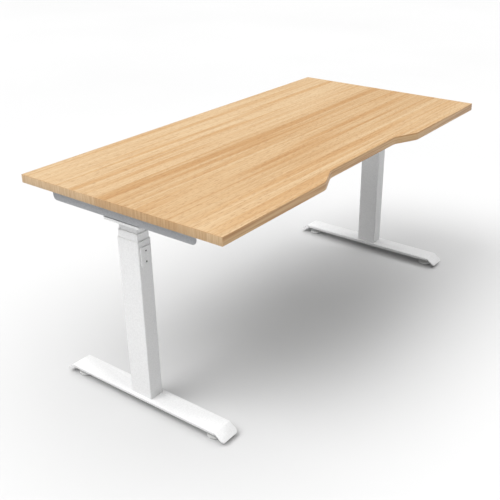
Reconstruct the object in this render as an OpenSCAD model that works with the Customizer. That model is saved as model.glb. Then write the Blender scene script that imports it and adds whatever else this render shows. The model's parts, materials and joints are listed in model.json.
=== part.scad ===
/* [Worktop] */
// Length of the worktop, end to end
top_length = 1500; // [1400:10:1800]
// Depth of the worktop, front to back
top_depth = 750; // [620:10:900]
// Thickness of the worktop
top_thick = 25; // [20:1:32]
// Thickness of the band round the worktop's edge
band_thick = 1.5; // [0.8:0.1:3]
// Width of the straight floor of the rear cable recess
recess_floor = 400; // [200:5:600]
// Length of the slope at each end of the cable recess
recess_ramp = 87.5; // [60:2.5:150]
// How far the cable recess goes in from the rear edge
recess_depth = 40; // [20:1:60]
// Radius of the curves in the cable recess
recess_round = 60; // [10:1:80]

/* [Height] */
// Height of the worktop's surface with the legs right down
rest_height = 680; // [640:5:760]
// Travel of each of the two moving stages in a leg
stage_travel = 300; // [200:10:320]

/* [Legs] */
// From the worktop's end to the centre of the leg
leg_inset = 66; // [62:1:160]
// Width of the outer tube, along the desk
outer_w = 50; // [48:1:70]
// Depth of the outer tube, front to back
outer_d = 80; // [70:1:120]
// Wall of the outer and middle tubes
tube_wall = 2; // [1.5:0.1:2.5]
// Wall of the inner tube
inner_wall = 1.5; // [1.2:0.1:2]
// Running gap between one tube and the next
stage_gap = 0.5; // [0.3:0.05:0.8]
// Outside corner radius of the outer tube
tube_round = 3; // [2.5:0.5:6]
// From the worktop's surface down to the top of the outer tube
outer_drop = 122.5; // [115:0.5:160]
// Length of the middle tube that shows with the legs down
middle_show = 23.5; // [15:0.5:35]

/* [Feet] */
// Flat length of the foot's top plate
foot_flat = 592; // [480:2:700]
// Width of the foot's top plate
foot_width = 70; // [64:1:90]
// Height of the foot's top face above the floor
foot_top = 37; // [34:0.5:45]
// Thickness of the foot's top plate
foot_plate = 2.8; // [2:0.1:3]
// Length over which the plate's end bends down
tip_run = 31; // [20:1:40]
// How far the plate's end bends down
tip_drop = 23; // [15:1:24]
// Depth of the foot's section, top face to lower flange
foot_section = 15.5; // [15:0.5:20]
// Diameter of the levelling glide's pad
glide_dia = 50; // [30:1:60]
// Distance between the two glides of one foot
glide_pitch = 540; // [420:2:560]

/* [Top frame] */
// Length of the side bracket, front to back
bracket_length = 540; // [400:5:600]
// Height of the side bracket's outer flange
bracket_height = 35.5; // [30:0.5:36]
// Sheet thickness of the brackets and housings
sheet = 2.5; // [2:0.1:3]
// Width of the column's end housing, front to back
housing_d = 130; // [130:1:160]
// Width of the column's end housing, along the desk
housing_w = 76; // [74:1:80]
// Width of a crossbeam rail
rail_w = 25; // [20:1:25]
// Height of a crossbeam rail
rail_h = 30; // [24:1:30]
// Half the gap at mid-span between the left and right rails
rail_end_gap = 150; // [100:5:200]

/* [Accessory plates] */
// Width of the accessory plate on the outer tube
plate_w = 38; // [30:1:42]
// Height of the accessory plate
plate_h = 58; // [50:1:80]
// Thickness of the accessory plate
plate_t = 4; // [3:0.5:6]
// Distance between the plate's two holes
plate_pitch = 33; // [25:1:40]
// Diameter of the plate's tapped holes
plate_hole = 5; // [4:0.5:6]

/* [Hidden] */
$fn = 48;
LEFT = -1;
RIGHT = 1;
FRONT = 1;
REAR = -1;
eps = 1;

// Levels, from the floor
top_z0 = rest_height - top_thick;
bracket_z0 = top_z0 - sheet;
outer_z1 = rest_height - outer_drop;
middle_z1 = outer_z1 + middle_show;
leg_x = top_length / 2 - leg_inset;

// Column tubes: each is one wall and one gap inside the one outside it
stage_step = tube_wall + stage_gap;
middle_w = outer_w - 2 * stage_step;
middle_d = outer_d - 2 * stage_step;
inner_w = middle_w - 2 * stage_step;
inner_d = middle_d - 2 * stage_step;
middle_round = tube_round - 0.5;
inner_round = tube_round - 1.5;
inner_bore_round = max(inner_round - inner_wall, 0);
head_corner = 2;
guide_t = 2;
guide_gap = 0.4;
base_plate = 5;
base_z1 = foot_top + base_plate;
stop_gap = 4;
middle_z0 = base_z1 + stop_gap;
middle_plate = 4;
middle_floor = middle_z0 + middle_plate;
inner_z0 = middle_floor + stop_gap;

// Drive inside each leg, on the leg's axis
spindle_r = 6;
spindle_gap = 0.5;
hollow_r = 10;
push_r = 13;
push_bore = 11;
carrier_bore = 14;
carrier_r = 16;
nut_length = 15;
push_z1 = outer_z1;
carrier_head = push_z1 + stop_gap;
hollow_rise = 28;
bearing_seat = 16;
bearing_gap = 1;
hollow_z0 = base_z1 + hollow_rise;
hollow_z1 = carrier_head + bearing_seat;
carrier_z1 = hollow_z1 + 2 * bearing_gap + nut_length;
spindle_z0 = hollow_z0 + 20;

// Column head: cover tray, head plate, gearbox, end housing
housing_z1 = bracket_z0;
housing_height = 41;
housing_z0 = housing_z1 - housing_height;
housing_corner = 3;
cover_floor = 2;
cover_lip = 7;
cover_z0 = housing_z0 - cover_floor;
cover_w = 87;
cover_d = housing_d + 6;
cover_wall = 2;
cover_corner = 4;
head_thick = 5;
head_lift = 1.5;
head_z0 = housing_z0 + head_lift;
head_pass = 2;
head_z1 = head_z0 + head_thick;
head_gap = 0.5;
case_w = 66;
case_d = 60;
case_corner = 6;
case_z1 = housing_z1 - sheet;
neck_r = 5;
neck_step = 4;
neck_z1 = case_z1 - 10;
boss_r = 10;
motor_r = 24;
motor_gap = 1;
flange_step = 4;
motor_cap_step = 3;
motor_z = head_z1 + boss_r + 2;
motor_length = 95;
flange_t = 4;
cap_t = 8;
gland_r = 5;
gland_t = 8;
motor_end = housing_w / 2 + flange_t + motor_length + cap_t + gland_t;

// Crossbeam rails sit on the housing's end walls, inside
rail_wall = 2;
rail_y1 = housing_d / 2 - sheet;
rail_y0 = rail_y1 - rail_w;
rail_drop = 1.5;
rail_z1 = case_z1 - rail_drop;
rail_z0 = rail_z1 - rail_h;
rail_inside = housing_w / 2 - 8;
joiner_grip = 110;
window_gap = 0.2;
joiner_gap = 0.2;
joiner_half = rail_end_gap + joiner_grip;

// Side bracket: outer face of the flange measured from the leg's centre
bracket_x1 = cover_w / 2 + 0.5;
bracket_x0 = -housing_w / 2;
bracket_round = 14;
bracket_corner = 4;
bracket_screw_in = 30;
bracket_screw_mid = housing_d / 2 + 60;
bracket_screw_end = bracket_length / 2 - bracket_screw_in;
bracket_screws = [for (y = [bracket_screw_mid, bracket_screw_end], f = [REAR, FRONT]) f * y];

// Fasteners
fit = 0.1;
m6_r = 3;
m6_head_r = 5.5;
m6_head = 3;
m6_length = 9;
m6_spread = 15;
m8_r = 4;
m8_head_r = 6.5;
m8_head = 5;
bolt_x = 12;
bolt_y = 28;
bolt_access = 8;
wood_r = 2.5;
wood_head_r = 5;
wood_head = 2.5;
wood_length = 15;
cover_screw_y = 50;
joiner_screw_x = rail_end_gap + joiner_grip / 2;

// Foot
channel_inset = 9;
channel_wall = 2;
flange_sheet = 2.5;
foot_z0 = foot_top - foot_section;
channel_end = (glide_pitch - glide_dia) / 2 - 2;
lip_t = 2.5;
lip_h = 8;
weld_nut_r = 8;
tip_angle = atan(tip_drop / tip_run);
tip_round = 12;
stem_r = 4;
stem_gap = 0.3;
stem_z1 = foot_top - foot_plate - 1.5;
pad_h = 9;
pad_edge = 2;
pad_rise = 2;
hub_r = 11;
hub_z1 = foot_z0 - 0.5;

// Accessory plate
plate_drop = 18;
plate_z1 = outer_z1 - plate_drop;

// Control box under the worktop, behind the rails
box_w = 250;
box_d = 110;
box_h = 33;
box_y = -135;
box_wall = 2;
box_corner = 5;
lid_t = 2;
ear = 12;
box_z1 = top_z0 - lid_t;
box_z0 = box_z1 - box_h;
socket_r = 6;
socket_t = 5;
socket_z = box_z0 + 18;
motor_socket_y = -120;
handset_socket_y = -95;
inlet_y = -160;
inlet_w = 24;
inlet_h = 18;
inlet_deep = 16;

// Handset under the worktop's front edge
set_w = 110;
set_d = 60;
set_h = 18;
set_x = leg_x - 179;
set_back = 3;
set_y1 = top_depth / 2 - set_back;
set_wall = 2;
set_z0 = top_z0 - set_h;
button_w = 11;
button_h = 8;
button_z = set_z0 + set_h / 2;
button_gap = 0.4;
button_proud = 1.2;
button_stroke = 1;
button_rim = 1;
button_places = [42, 26, -26, -42];
display_w = 32;
display_h = 10;
display_t = 0.6;

// Cable routes: points from socket to socket, by hand
cable_r = 2.5;
cable_z = top_z0 - 3.2;
cable_sides = 8;
cable_steps = 2;
bend_start = box_w / 2 + 40;
clip_start = box_w / 2 + 75;
clip_end = box_w / 2 + 190;
motor_route = [
  [leg_x - motor_end, 0, motor_z],
  [leg_x - motor_end - 25, 0, motor_z + 1],
  [leg_x - motor_end - 60, -14, cable_z - 6],
  [leg_x - motor_end - 95, -30, cable_z],
  [leg_x - motor_end - 125, -80, cable_z],
  [leg_x - motor_end - 155, motor_socket_y, cable_z],
  [clip_end, motor_socket_y, cable_z],
  [clip_start + 25, motor_socket_y, cable_z],
  [clip_start, motor_socket_y, cable_z],
  [bend_start, motor_socket_y, socket_z + 8],
  [box_w / 2 + socket_t + 12, motor_socket_y, socket_z],
  [box_w / 2 + socket_t, motor_socket_y, socket_z]
];
handset_route = [
  [set_x, set_y1 - set_d + set_wall, cable_z],
  [set_x, set_y1 - set_d - 40, cable_z],
  [set_x - 60, 210, cable_z],
  [330, 150, cable_z],
  [300, 90, cable_z],
  [290, 0, cable_z],
  [270, -70, cable_z],
  [clip_start + 20, handset_socket_y, cable_z],
  [bend_start, handset_socket_y, socket_z + 8],
  [box_w / 2 + socket_t + 12, handset_socket_y, socket_z],
  [box_w / 2 + socket_t, handset_socket_y, socket_z]
];
clip_w = 10;
clip_d = 12;
clip_h = 6.7;
clip_motor_x = [clip_start + 45, clip_end - 20];

// A box of w by d with its lower face at z0 and rounded upright corners
module block(w, d, z0, z1, r = 0) {
  translate([0, 0, z0]) linear_extrude(z1 - z0) rounded(w, d, r);
}
module rounded(w, d, r) {
  if (r > 0) {
    square([w - 2 * r, d], center = true);
    square([w, d - 2 * r], center = true);
    for (x = [-1, 1], y = [-1, 1]) translate([x * (w / 2 - r), y * (d / 2 - r)]) circle(r);
  } else {
    square([w, d], center = true);
  }
}
module rod(r, z0, z1) {
  translate([0, 0, z0]) cylinder(r = r, h = z1 - z0);
}
// A cylinder along X from x0 to x1 at height z
module bar_x(r, x0, x1, z) {
  translate([x0, 0, z]) rotate([0, 90, 0]) cylinder(r = r, h = x1 - x0);
}
// A cylinder along Y from y0 to y1
module bar_y(r, y0, y1) {
  translate([0, y0, 0]) rotate([-90, 0, 0]) cylinder(r = r, h = y1 - y0);
}
// Places a leg's piece; its own +X points outboard
module at_leg(side) {
  translate([side * leg_x, 0, 0]) mirror([side < 0 ? 1 : 0, 0, 0]) children();
}
module square_tube(w, d, wall, z0, z1, r) {
  difference() {
    block(w, d, z0, z1, r);
    block(w - 2 * wall, d - 2 * wall, z0 - eps, z1 + eps, r - wall);
  }
}

// Worktop outline, with its edge moved in by inset all round
ramp_angle = atan(recess_depth / recess_ramp);
ramp_length = norm([recess_depth, recess_ramp]);
curve_r = min(recess_round, 0.45 * ramp_length / tan(ramp_angle / 2));
curve_run = curve_r * tan(ramp_angle / 2);
mouth_x = recess_floor / 2 + recess_ramp + curve_run;
floor_x = recess_floor / 2 - curve_run;
function arc(x, y, r, a0, a1, n = 6) =
  [for (i = [0:n]) let (a = a0 + (a1 - a0) * i / n) [x + r * cos(a), y + r * sin(a)]];
function outline(inset) = let (
    hx = top_length / 2 - inset,
    hy = top_depth / 2 - inset,
    y0 = -top_depth / 2,
    mouth_r = curve_r - inset,
    floor_r = curve_r + inset,
    floor_y = y0 + recess_depth - curve_r
  ) concat(
    [[-hx, -hy]],
    arc(-mouth_x, y0 + curve_r, mouth_r, -90, -90 + ramp_angle),
    arc(-floor_x, floor_y, floor_r, 90 + ramp_angle, 90),
    arc(floor_x, floor_y, floor_r, 90, 90 - ramp_angle),
    arc(mouth_x, y0 + curve_r, mouth_r, -90 - ramp_angle, -90),
    [[hx, -hy], [hx, hy], [-hx, hy]]
  );
module desktop() {
  color("burlywood") difference() {
    translate([0, 0, top_z0]) linear_extrude(top_thick) polygon(outline(band_thick));
    for (side = [LEFT, RIGHT]) at_leg(side) for (y = bracket_screws)
      translate([0, y, 0]) rod(wood_r + fit, top_z0 - eps, top_z0 + wood_length + fit);
  }
}
module edge_band() {
  color("tan") translate([0, 0, top_z0]) linear_extrude(top_thick) difference() {
    polygon(outline(0));
    polygon(outline(band_thick));
  }
}

// Folded steel angle under each end of the worktop
module side_bracket(side) {
  width = bracket_x1 - bracket_x0;
  color("gainsboro") at_leg(side) difference() {
    union() {
      translate([(bracket_x0 + bracket_x1) / 2, 0, 0])
        block(width, bracket_length, bracket_z0, top_z0, bracket_corner);
      translate([bracket_x1 - sheet, 0, 0]) rotate([90, 0, 90]) linear_extrude(sheet) flange_shape();
    }
    for (y = bracket_screws) translate([0, y, 0]) rod(wood_r + 2 * fit, bracket_z0 - eps, top_z0 + eps);
  }
}
module flange_shape() {
  z0 = top_z0 - bracket_height;
  half = bracket_length / 2;
  translate([-half, z0 + bracket_round]) square([2 * half, bracket_height - bracket_round - sheet / 2]);
  translate([-half + bracket_round, z0]) square([2 * (half - bracket_round), bracket_height - sheet / 2]);
  for (f = [REAR, FRONT]) translate([f * (half - bracket_round), z0 + bracket_round]) circle(bracket_round);
}

// Steel box over each column head, open below
module end_housing(side) {
  color("whitesmoke") at_leg(side) difference() {
    block(housing_w, housing_d, housing_z0, housing_z1, housing_corner);
    block(housing_w - 2 * sheet, housing_d - 2 * sheet, housing_z0 - eps, case_z1);
    for (f = [REAR, FRONT])
      translate([-housing_w / 2 + sheet / 2, f * (rail_y0 + rail_y1 - window_gap) / 2, 0])
        block(sheet + 2 * eps, rail_w + window_gap, rail_z0 - window_gap, rail_z1 + window_gap);
    bar_x(boss_r + 2 * fit, -housing_w / 2 - eps, -housing_w / 2 + sheet + eps, motor_z);
    for (x = [-m6_spread, m6_spread]) translate([x, 0, (rail_z0 + rail_z1) / 2])
      bar_y(m6_r + fit, -housing_d / 2 - eps, -rail_y1 + eps);
    for (x = [-m6_spread, m6_spread]) translate([x, 0, (rail_z0 + rail_z1) / 2])
      bar_y(m6_r + fit, rail_y1 - eps, housing_d / 2 + eps);
  }
}
// Shallow tray that closes the housing round the column
module housing_cover(side) {
  color("white") at_leg(side) difference() {
    block(cover_w, cover_d, cover_z0, cover_z0 + cover_lip, cover_corner);
    block(cover_w - 2 * cover_wall, cover_d - 2 * cover_wall, housing_z0, cover_z0 + cover_lip + eps,
      cover_corner - cover_wall);
    block(inner_w + 2 * head_gap, inner_d + 2 * head_gap, cover_z0 - eps, housing_z0 + eps, inner_round);
    for (f = [REAR, FRONT]) translate([0, f * cover_screw_y, 0])
      rod(m6_r + fit, cover_z0 - eps, housing_z0 + eps);
    bar_x(motor_r + motor_gap, -cover_w / 2 - eps, -housing_w / 2, motor_z);
  }
}
// Smallest tube of the column, with the plate that carries the gearbox
module inner_tube(side) {
  color("white") at_leg(side) difference() {
    union() {
      block(inner_w, inner_d, inner_z0, head_z0, inner_round);
      block(housing_w - 2 * sheet - 2 * head_gap, housing_d - 2 * sheet - 2 * head_gap, head_z0, head_z1);
    }
    block(inner_w - 2 * inner_wall, inner_d - 2 * inner_wall, inner_z0 - eps, head_z0, inner_bore_round);
    rod(spindle_r + head_pass, head_z0 - eps, head_z1 + eps);
    for (f = [REAR, FRONT]) translate([0, f * cover_screw_y, 0])
      rod(m6_r + fit, head_z0 - eps, head_z1 + eps);
  }
}
module gearbox(side) {
  color("dimgray") at_leg(side) difference() {
    block(case_w, case_d, head_z1, case_z1, case_corner);
    rod(spindle_r + spindle_gap, head_z1 - eps, head_z1 + neck_step + bearing_gap);
    rod(neck_r + spindle_gap, head_z1, neck_z1 + bearing_gap);
  }
}
module motor(side) {
  color("darkgray") at_leg(side) union() {
    bar_x(boss_r, -housing_w / 2, -case_w / 2, motor_z);
    bar_x(motor_r - flange_step, -housing_w / 2 - flange_t, -housing_w / 2, motor_z);
    bar_x(motor_r, -housing_w / 2 - flange_t - motor_length, -housing_w / 2 - flange_t, motor_z);
    bar_x(motor_r - motor_cap_step, gland_t - motor_end, gland_t + cap_t - motor_end, motor_z);
    bar_x(gland_r, -motor_end, gland_t - motor_end, motor_z);
  }
}

// Crossbeam: two rails on each side of mid-span, joined by a smaller tube
module rail_box(x0, x1, f, shrink = 0) {
  w = rail_w - 2 * shrink;
  h = rail_h - 2 * shrink;
  translate([(x0 + x1) / 2, f * (rail_y0 + rail_y1) / 2, (rail_z0 + rail_z1) / 2]) difference() {
    cube([x1 - x0, w, h], center = true);
    cube([x1 - x0 + 2 * eps, w - 2 * rail_wall, h - 2 * rail_wall], center = true);
  }
}
module joiner_holes(f) {
  for (x = [-joiner_screw_x, joiner_screw_x]) translate([x, f * (rail_y0 + rail_y1) / 2, 0])
    rod(m6_r + fit, rail_z0 - eps, rail_z0 + rail_h / 3);
}
module rail(side, f) {
  color("whitesmoke") difference() {
    at_leg(side) rail_box(-leg_x + rail_end_gap, rail_inside, f);
    joiner_holes(f);
    at_leg(side) for (x = [-m6_spread, m6_spread])
      translate([x, f * rail_y1, (rail_z0 + rail_z1) / 2])
        bar_y(m6_r + fit, -rail_wall - eps, rail_wall + eps);
  }
}
module rail_joiners() {
  color("silver") for (f = [REAR, FRONT]) difference() {
    rail_box(-joiner_half, joiner_half, f, rail_wall + joiner_gap);
    joiner_holes(f);
  }
}

// Electronics under the worktop
module control_box() {
  color("dimgray") difference() {
    union() {
      difference() {
        translate([0, box_y, 0]) block(box_w, box_d, box_z0, box_z1, box_corner);
        translate([0, box_y, 0])
          block(box_w - 2 * box_wall, box_d - 2 * box_wall, box_z0 + box_wall, box_z1 + eps,
            box_corner - box_wall);
      }
      translate([-box_w / 2 + box_wall + inlet_deep / 2, inlet_y, 0])
        block(inlet_deep, inlet_w + 2 * box_wall, box_z0 + box_wall / 2, socket_z + inlet_h / 2 + box_wall);
      for (side = [LEFT, RIGHT]) translate([0, motor_socket_y, 0])
        bar_x(socket_r, min(side * box_w / 2, side * (box_w / 2 + socket_t)),
          max(side * box_w / 2, side * (box_w / 2 + socket_t)), socket_z);
      translate([0, handset_socket_y, 0]) bar_x(socket_r, box_w / 2, box_w / 2 + socket_t, socket_z);
    }
    translate([-box_w / 2 + inlet_deep / 2 - eps / 2, inlet_y, 0])
      block(inlet_deep + eps, inlet_w, socket_z - inlet_h / 2, socket_z + inlet_h / 2, 2);
  }
}
module control_lid() {
  color("silver") difference() {
    translate([0, box_y, 0]) block(box_w + 2 * ear, box_d, box_z1, top_z0, box_corner);
    for (x = [-1, 1], f = [REAR, FRONT])
      translate([x * (box_w / 2 + ear / 2), box_y + f * (box_d / 2 - ear), 0])
        rod(wood_r + fit, box_z1 - eps, top_z0 + eps);
  }
}
module control_board() {
  board_z = box_z0 + box_wall + 3;
  color("seagreen") translate([8, box_y, 0]) {
    block(box_w - 2 * box_wall - 40, box_d - 2 * box_wall - 6, board_z, board_z + 1.6);
    translate([-55, 12, 0]) block(48, 42, board_z + 1.6, board_z + 22, 2);
    for (x = [10, 40, 70]) translate([x, 20, 0]) rod(9, board_z + 1.6, board_z + 20);
    translate([40, -22, 0]) block(80, 14, board_z + 1.6, board_z + 12);
  }
}

// Handset with its keys through the front wall
module handset_case() {
  y_mid = set_y1 - set_d / 2;
  color("black") difference() {
    translate([set_x, y_mid, 0]) block(set_w, set_d, set_z0, top_z0, box_corner);
    translate([set_x, y_mid, 0])
      block(set_w - 2 * set_wall, set_d - 2 * set_wall, set_z0 + set_wall, top_z0 + eps,
        box_corner - set_wall);
    for (x = button_places) translate([set_x + x, set_y1 - set_wall / 2, button_z])
      cube([button_w + 2 * button_gap, set_wall + 2 * eps, button_h + 2 * button_gap], center = true);
    translate([set_x, set_y1, button_z]) cube([display_w, 2 * display_t, display_h], center = true);
    translate([set_x, set_y1 - set_d - eps, cable_z]) rotate([-90, 0, 0])
      cylinder(r = cable_r + 0.3, h = set_wall + 2 * eps);
  }
}
module handset_display() {
  color("dimgray") translate([set_x, set_y1 - display_t / 2, button_z])
    cube([display_w, display_t, display_h], center = true);
}
module button(i) {
  color("lightgray") translate([set_x + button_places[i], 0, button_z]) {
    translate([0, set_y1 + (button_proud - set_wall) / 2 - button_rim / 2, 0])
      cube([button_w, button_proud + set_wall + button_rim, button_h], center = true);
    translate([0, set_y1 - set_wall - button_gap - button_rim / 2, 0])
      cube([button_w + 2, button_rim, button_h + 2], center = true);
  }
}

// Smooth run of points through a route, and a tube swept along it
function blend(a, b, c, d, t) =
  0.5 * (2 * b + (c - a) * t + (2 * a - 5 * b + 4 * c - d) * t * t + (3 * b - a - 3 * c + d) * t * t * t);
function smooth(p, n) = let (last = len(p) - 1) concat(
  [for (i = [0:last - 1], k = [0:n - 1])
    blend(p[max(i - 1, 0)], p[i], p[i + 1], p[min(i + 2, last)], k / n)],
  [p[last]]
);
function unit(v) = v / norm(v);
function way(p, i) = unit(p[min(i + 1, len(p) - 1)] - p[max(i - 1, 0)]);
function ring(p, i, r, n) = let (
    t = way(p, i),
    side = unit(cross(t, [0, 0, 1])),
    up = cross(side, t)
  ) [for (k = [0:n - 1]) p[i] + r * (cos(360 * k / n) * side + sin(360 * k / n) * up)];
module cable(route) {
  p = smooth(route, cable_steps);
  n = cable_sides;
  m = len(p);
  polyhedron(
    points = [for (i = [0:m - 1]) each ring(p, i, cable_r, n)],
    faces = concat(
      [[for (k = [0:n - 1]) k]],
      [for (i = [0:m - 2], k = [0:n - 1])
        [i * n + k, (i + 1) * n + k, (i + 1) * n + (k + 1) % n, i * n + (k + 1) % n]],
      [[for (k = [n - 1:-1:0]) (m - 1) * n + k]]
    )
  );
}
module motor_cable(side) {
  color("black") mirror([side < 0 ? 1 : 0, 0, 0]) cable(motor_route);
}
module handset_cable() {
  color("black") cable(handset_route);
}
module cable_clips() {
  color("white") for (side = [LEFT, RIGHT], x = clip_motor_x)
    translate([side * x, motor_socket_y, 0]) difference() {
      block(clip_w, clip_d, top_z0 - clip_h, top_z0, 1);
      bar_x(cable_r + fit, -clip_w, clip_w, cable_z);
    }
}

// Fasteners
module frame_screws() {
  color("silver") {
    for (side = [LEFT, RIGHT]) at_leg(side) {
      for (x = [-m6_spread, m6_spread], f = [0, 1]) mirror([0, f, 0])
        translate([x, 0, (rail_z0 + rail_z1) / 2]) {
          bar_y(m6_head_r, housing_d / 2, housing_d / 2 + m6_head);
          bar_y(m6_r, housing_d / 2 - m6_length, housing_d / 2 + m6_head / 2);
        }
      for (f = [REAR, FRONT]) translate([0, f * cover_screw_y, 0]) {
        rod(m6_head_r, cover_z0 - m6_head, cover_z0);
        rod(m6_r, cover_z0 - m6_head / 2, head_z1 - 1);
      }
    }
    for (f = [REAR, FRONT], x = [-joiner_screw_x, joiner_screw_x])
      translate([x, f * (rail_y0 + rail_y1) / 2, 0]) {
        rod(m6_head_r, rail_z0 - m6_head, rail_z0);
        rod(m6_r, rail_z0 - m6_head / 2, rail_z0 + m6_length);
      }
  }
}
module wood_screws() {
  color("silver") for (side = [LEFT, RIGHT]) at_leg(side) for (y = bracket_screws) translate([0, y, 0]) {
    rod(wood_head_r, bracket_z0 - wood_head, bracket_z0);
    rod(wood_r, bracket_z0 - wood_head / 2, top_z0 + wood_length);
  }
}

// Drive and moving stages
module spindle_upper(side) {
  color("lightsteelblue") at_leg(side) union() {
    rod(spindle_r, spindle_z0, head_z1 + neck_step);
    rod(neck_r, head_z1, neck_z1);
  }
}
module spindle_lower(side) {
  color("steelblue") at_leg(side) difference() {
    rod(hollow_r, hollow_z0, hollow_z1);
    rod(spindle_r + spindle_gap, hollow_z0 - eps, hollow_z1 + eps);
  }
}
module middle_tube(side) {
  color("white") at_leg(side) difference() {
    union() {
      square_tube(middle_w, middle_d, tube_wall, middle_z0, middle_z1 - guide_t, middle_round);
      block(middle_w - tube_wall, middle_d - tube_wall, middle_z0, middle_floor, head_corner);
    }
    rod(carrier_bore, middle_z0 - eps, middle_floor + eps);
  }
}
module middle_guide(side) {
  color("whitesmoke") at_leg(side) difference() {
    block(middle_w, middle_d, middle_z1 - guide_t, middle_z1, middle_round);
    block(inner_w + 2 * guide_gap, inner_d + 2 * guide_gap, middle_z1 - guide_t - eps, middle_z1 + eps,
      inner_round);
  }
}
module carrier_tube(side) {
  color("darkgray") at_leg(side) difference() {
    rod(carrier_r, middle_floor, carrier_z1);
    rod(carrier_bore, middle_floor - eps, carrier_head);
    rod(hollow_r + spindle_gap, carrier_head - eps, hollow_z1 + bearing_gap);
    rod(spindle_r + spindle_gap, hollow_z1, carrier_z1 + eps);
  }
}
module push_tube(side) {
  color("darkgray") at_leg(side) difference() {
    rod(push_r, base_z1, push_z1);
    rod(push_bore, base_z1 - eps, push_z1 - nut_length);
    rod(hollow_r + spindle_gap, push_z1 - nut_length - eps, push_z1 + eps);
  }
}
module outer_tube(side) {
  color("white") at_leg(side) difference() {
    union() {
      square_tube(outer_w, outer_d, tube_wall, foot_top, outer_z1 - guide_t, tube_round);
      block(outer_w - tube_wall, outer_d - tube_wall, foot_top, base_z1, head_corner);
    }
    bolt_holes(m8_r + fit, foot_top - eps, base_z1 + eps);
  }
}
module outer_guide(side) {
  color("whitesmoke") at_leg(side) difference() {
    block(outer_w, outer_d, outer_z1 - guide_t, outer_z1, tube_round);
    block(middle_w + 2 * guide_gap, middle_d + 2 * guide_gap, outer_z1 - guide_t - eps, outer_z1 + eps,
      middle_round);
  }
}
module bolt_holes(r, z0, z1) {
  for (x = [-bolt_x, bolt_x], y = [-bolt_y, bolt_y]) translate([x, y, 0]) rod(r, z0, z1);
}
module accessory_plate(side) {
  color("white") at_leg(side) translate([0, -outer_d / 2, 0]) difference() {
    translate([0, 0, plate_z1 - plate_h / 2]) rotate([90, 0, 0]) linear_extrude(plate_t)
      rounded(plate_w, plate_h, 2);
    for (z = [-plate_pitch / 2, plate_pitch / 2]) translate([0, 0, plate_z1 - plate_h / 2 + z])
      bar_y(plate_hole / 2, -plate_t - eps, eps);
  }
}

// Feet
module foot_profile() {
  a = tip_angle;
  half = foot_flat / 2;
  bend = foot_plate * tan(a / 2);
  tip = half + tip_run;
  tip_z = foot_top - tip_drop;
  polygon([
    [-tip, tip_z], [-half, foot_top], [half, foot_top], [tip, tip_z],
    [tip - foot_plate * sin(a), tip_z - foot_plate * cos(a)],
    [half - bend, foot_top - foot_plate], [bend - half, foot_top - foot_plate],
    [foot_plate * sin(a) - tip, tip_z - foot_plate * cos(a)]
  ]);
}
module foot(side) {
  web_w = foot_width - 2 * channel_inset;
  color("white") at_leg(side) difference() {
    union() {
      intersection() {
        translate([-foot_width / 2, 0, 0]) rotate([90, 0, 90]) linear_extrude(foot_width) foot_profile();
        block(foot_width, foot_flat + 2 * tip_run, 0, foot_top + eps, tip_round);
      }
      difference() {
        block(web_w, 2 * channel_end, foot_z0, foot_top - foot_plate / 2);
        block(web_w - 2 * channel_wall, 2 * channel_end + 2 * eps, foot_z0 + flange_sheet,
          foot_top - foot_plate);
      }
      block(web_w, 2 * channel_end, foot_z0, foot_z0 + flange_sheet);
      for (s = [-1, 1]) translate([s * (foot_width - lip_t) / 2, 0, 0])
        block(lip_t, foot_flat - 2, foot_top - lip_h, foot_top - foot_plate / 2);
      for (f = [REAR, FRONT]) translate([0, f * glide_pitch / 2, 0])
        rod(weld_nut_r, foot_z0, foot_top - foot_plate / 2);
    }
    bolt_holes(m8_r + fit, foot_top - foot_plate - eps, foot_top + eps);
    bolt_holes(bolt_access, foot_z0 - eps, foot_z0 + flange_sheet + eps);
    for (f = [REAR, FRONT]) translate([0, f * glide_pitch / 2, 0])
      rod(stem_r + stem_gap, foot_z0 - eps, foot_top - foot_plate);
  }
}
module foot_bolts(side) {
  color("silver") at_leg(side) {
    bolt_holes(m8_r, foot_top - foot_plate - m8_head / 2, base_z1 - 0.5);
    for (x = [-bolt_x, bolt_x], y = [-bolt_y, bolt_y]) translate([x, y, foot_top - foot_plate - m8_head])
      cylinder(r = m8_head_r, h = m8_head, $fn = 6);
  }
}
module glide(side, f) {
  r = glide_dia / 2;
  color("white") at_leg(side) translate([0, f * glide_pitch / 2, 0]) rotate_extrude() polygon([
    [0, 0], [r - pad_edge, 0], [r, pad_edge], [r, pad_h - pad_edge], [r - pad_edge, pad_h],
    [hub_r, pad_h + pad_rise], [hub_r, hub_z1], [stem_r, hub_z1], [stem_r, stem_z1], [0, stem_z1]
  ]);
}

desktop();
edge_band();
side_bracket(LEFT);  // side_bracket_left
side_bracket(RIGHT);  // side_bracket_right
end_housing(LEFT);  // end_housing_left
end_housing(RIGHT);  // end_housing_right
housing_cover(LEFT);  // housing_cover_left
housing_cover(RIGHT);  // housing_cover_right
inner_tube(LEFT);  // inner_tube_left
inner_tube(RIGHT);  // inner_tube_right
gearbox(LEFT);  // gearbox_left
gearbox(RIGHT);  // gearbox_right
motor(LEFT);  // motor_left
motor(RIGHT);  // motor_right
rail(LEFT, FRONT);  // rail_front_left
rail(RIGHT, FRONT);  // rail_front_right
rail(LEFT, REAR);  // rail_rear_left
rail(RIGHT, REAR);  // rail_rear_right
rail_joiners();
control_box();
control_lid();
control_board();
handset_case();
handset_display();
button(0);  // button_up
button(1);  // button_down
button(2);  // button_one
button(3);  // button_two
motor_cable(LEFT);  // motor_cable_left
motor_cable(RIGHT);  // motor_cable_right
handset_cable();
cable_clips();
frame_screws();
wood_screws();
spindle_upper(LEFT);  // spindle_upper_left
spindle_upper(RIGHT);  // spindle_upper_right
spindle_lower(LEFT);  // spindle_lower_left
spindle_lower(RIGHT);  // spindle_lower_right
middle_tube(LEFT);  // middle_tube_left
middle_tube(RIGHT);  // middle_tube_right
middle_guide(LEFT);  // middle_guide_left
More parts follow.
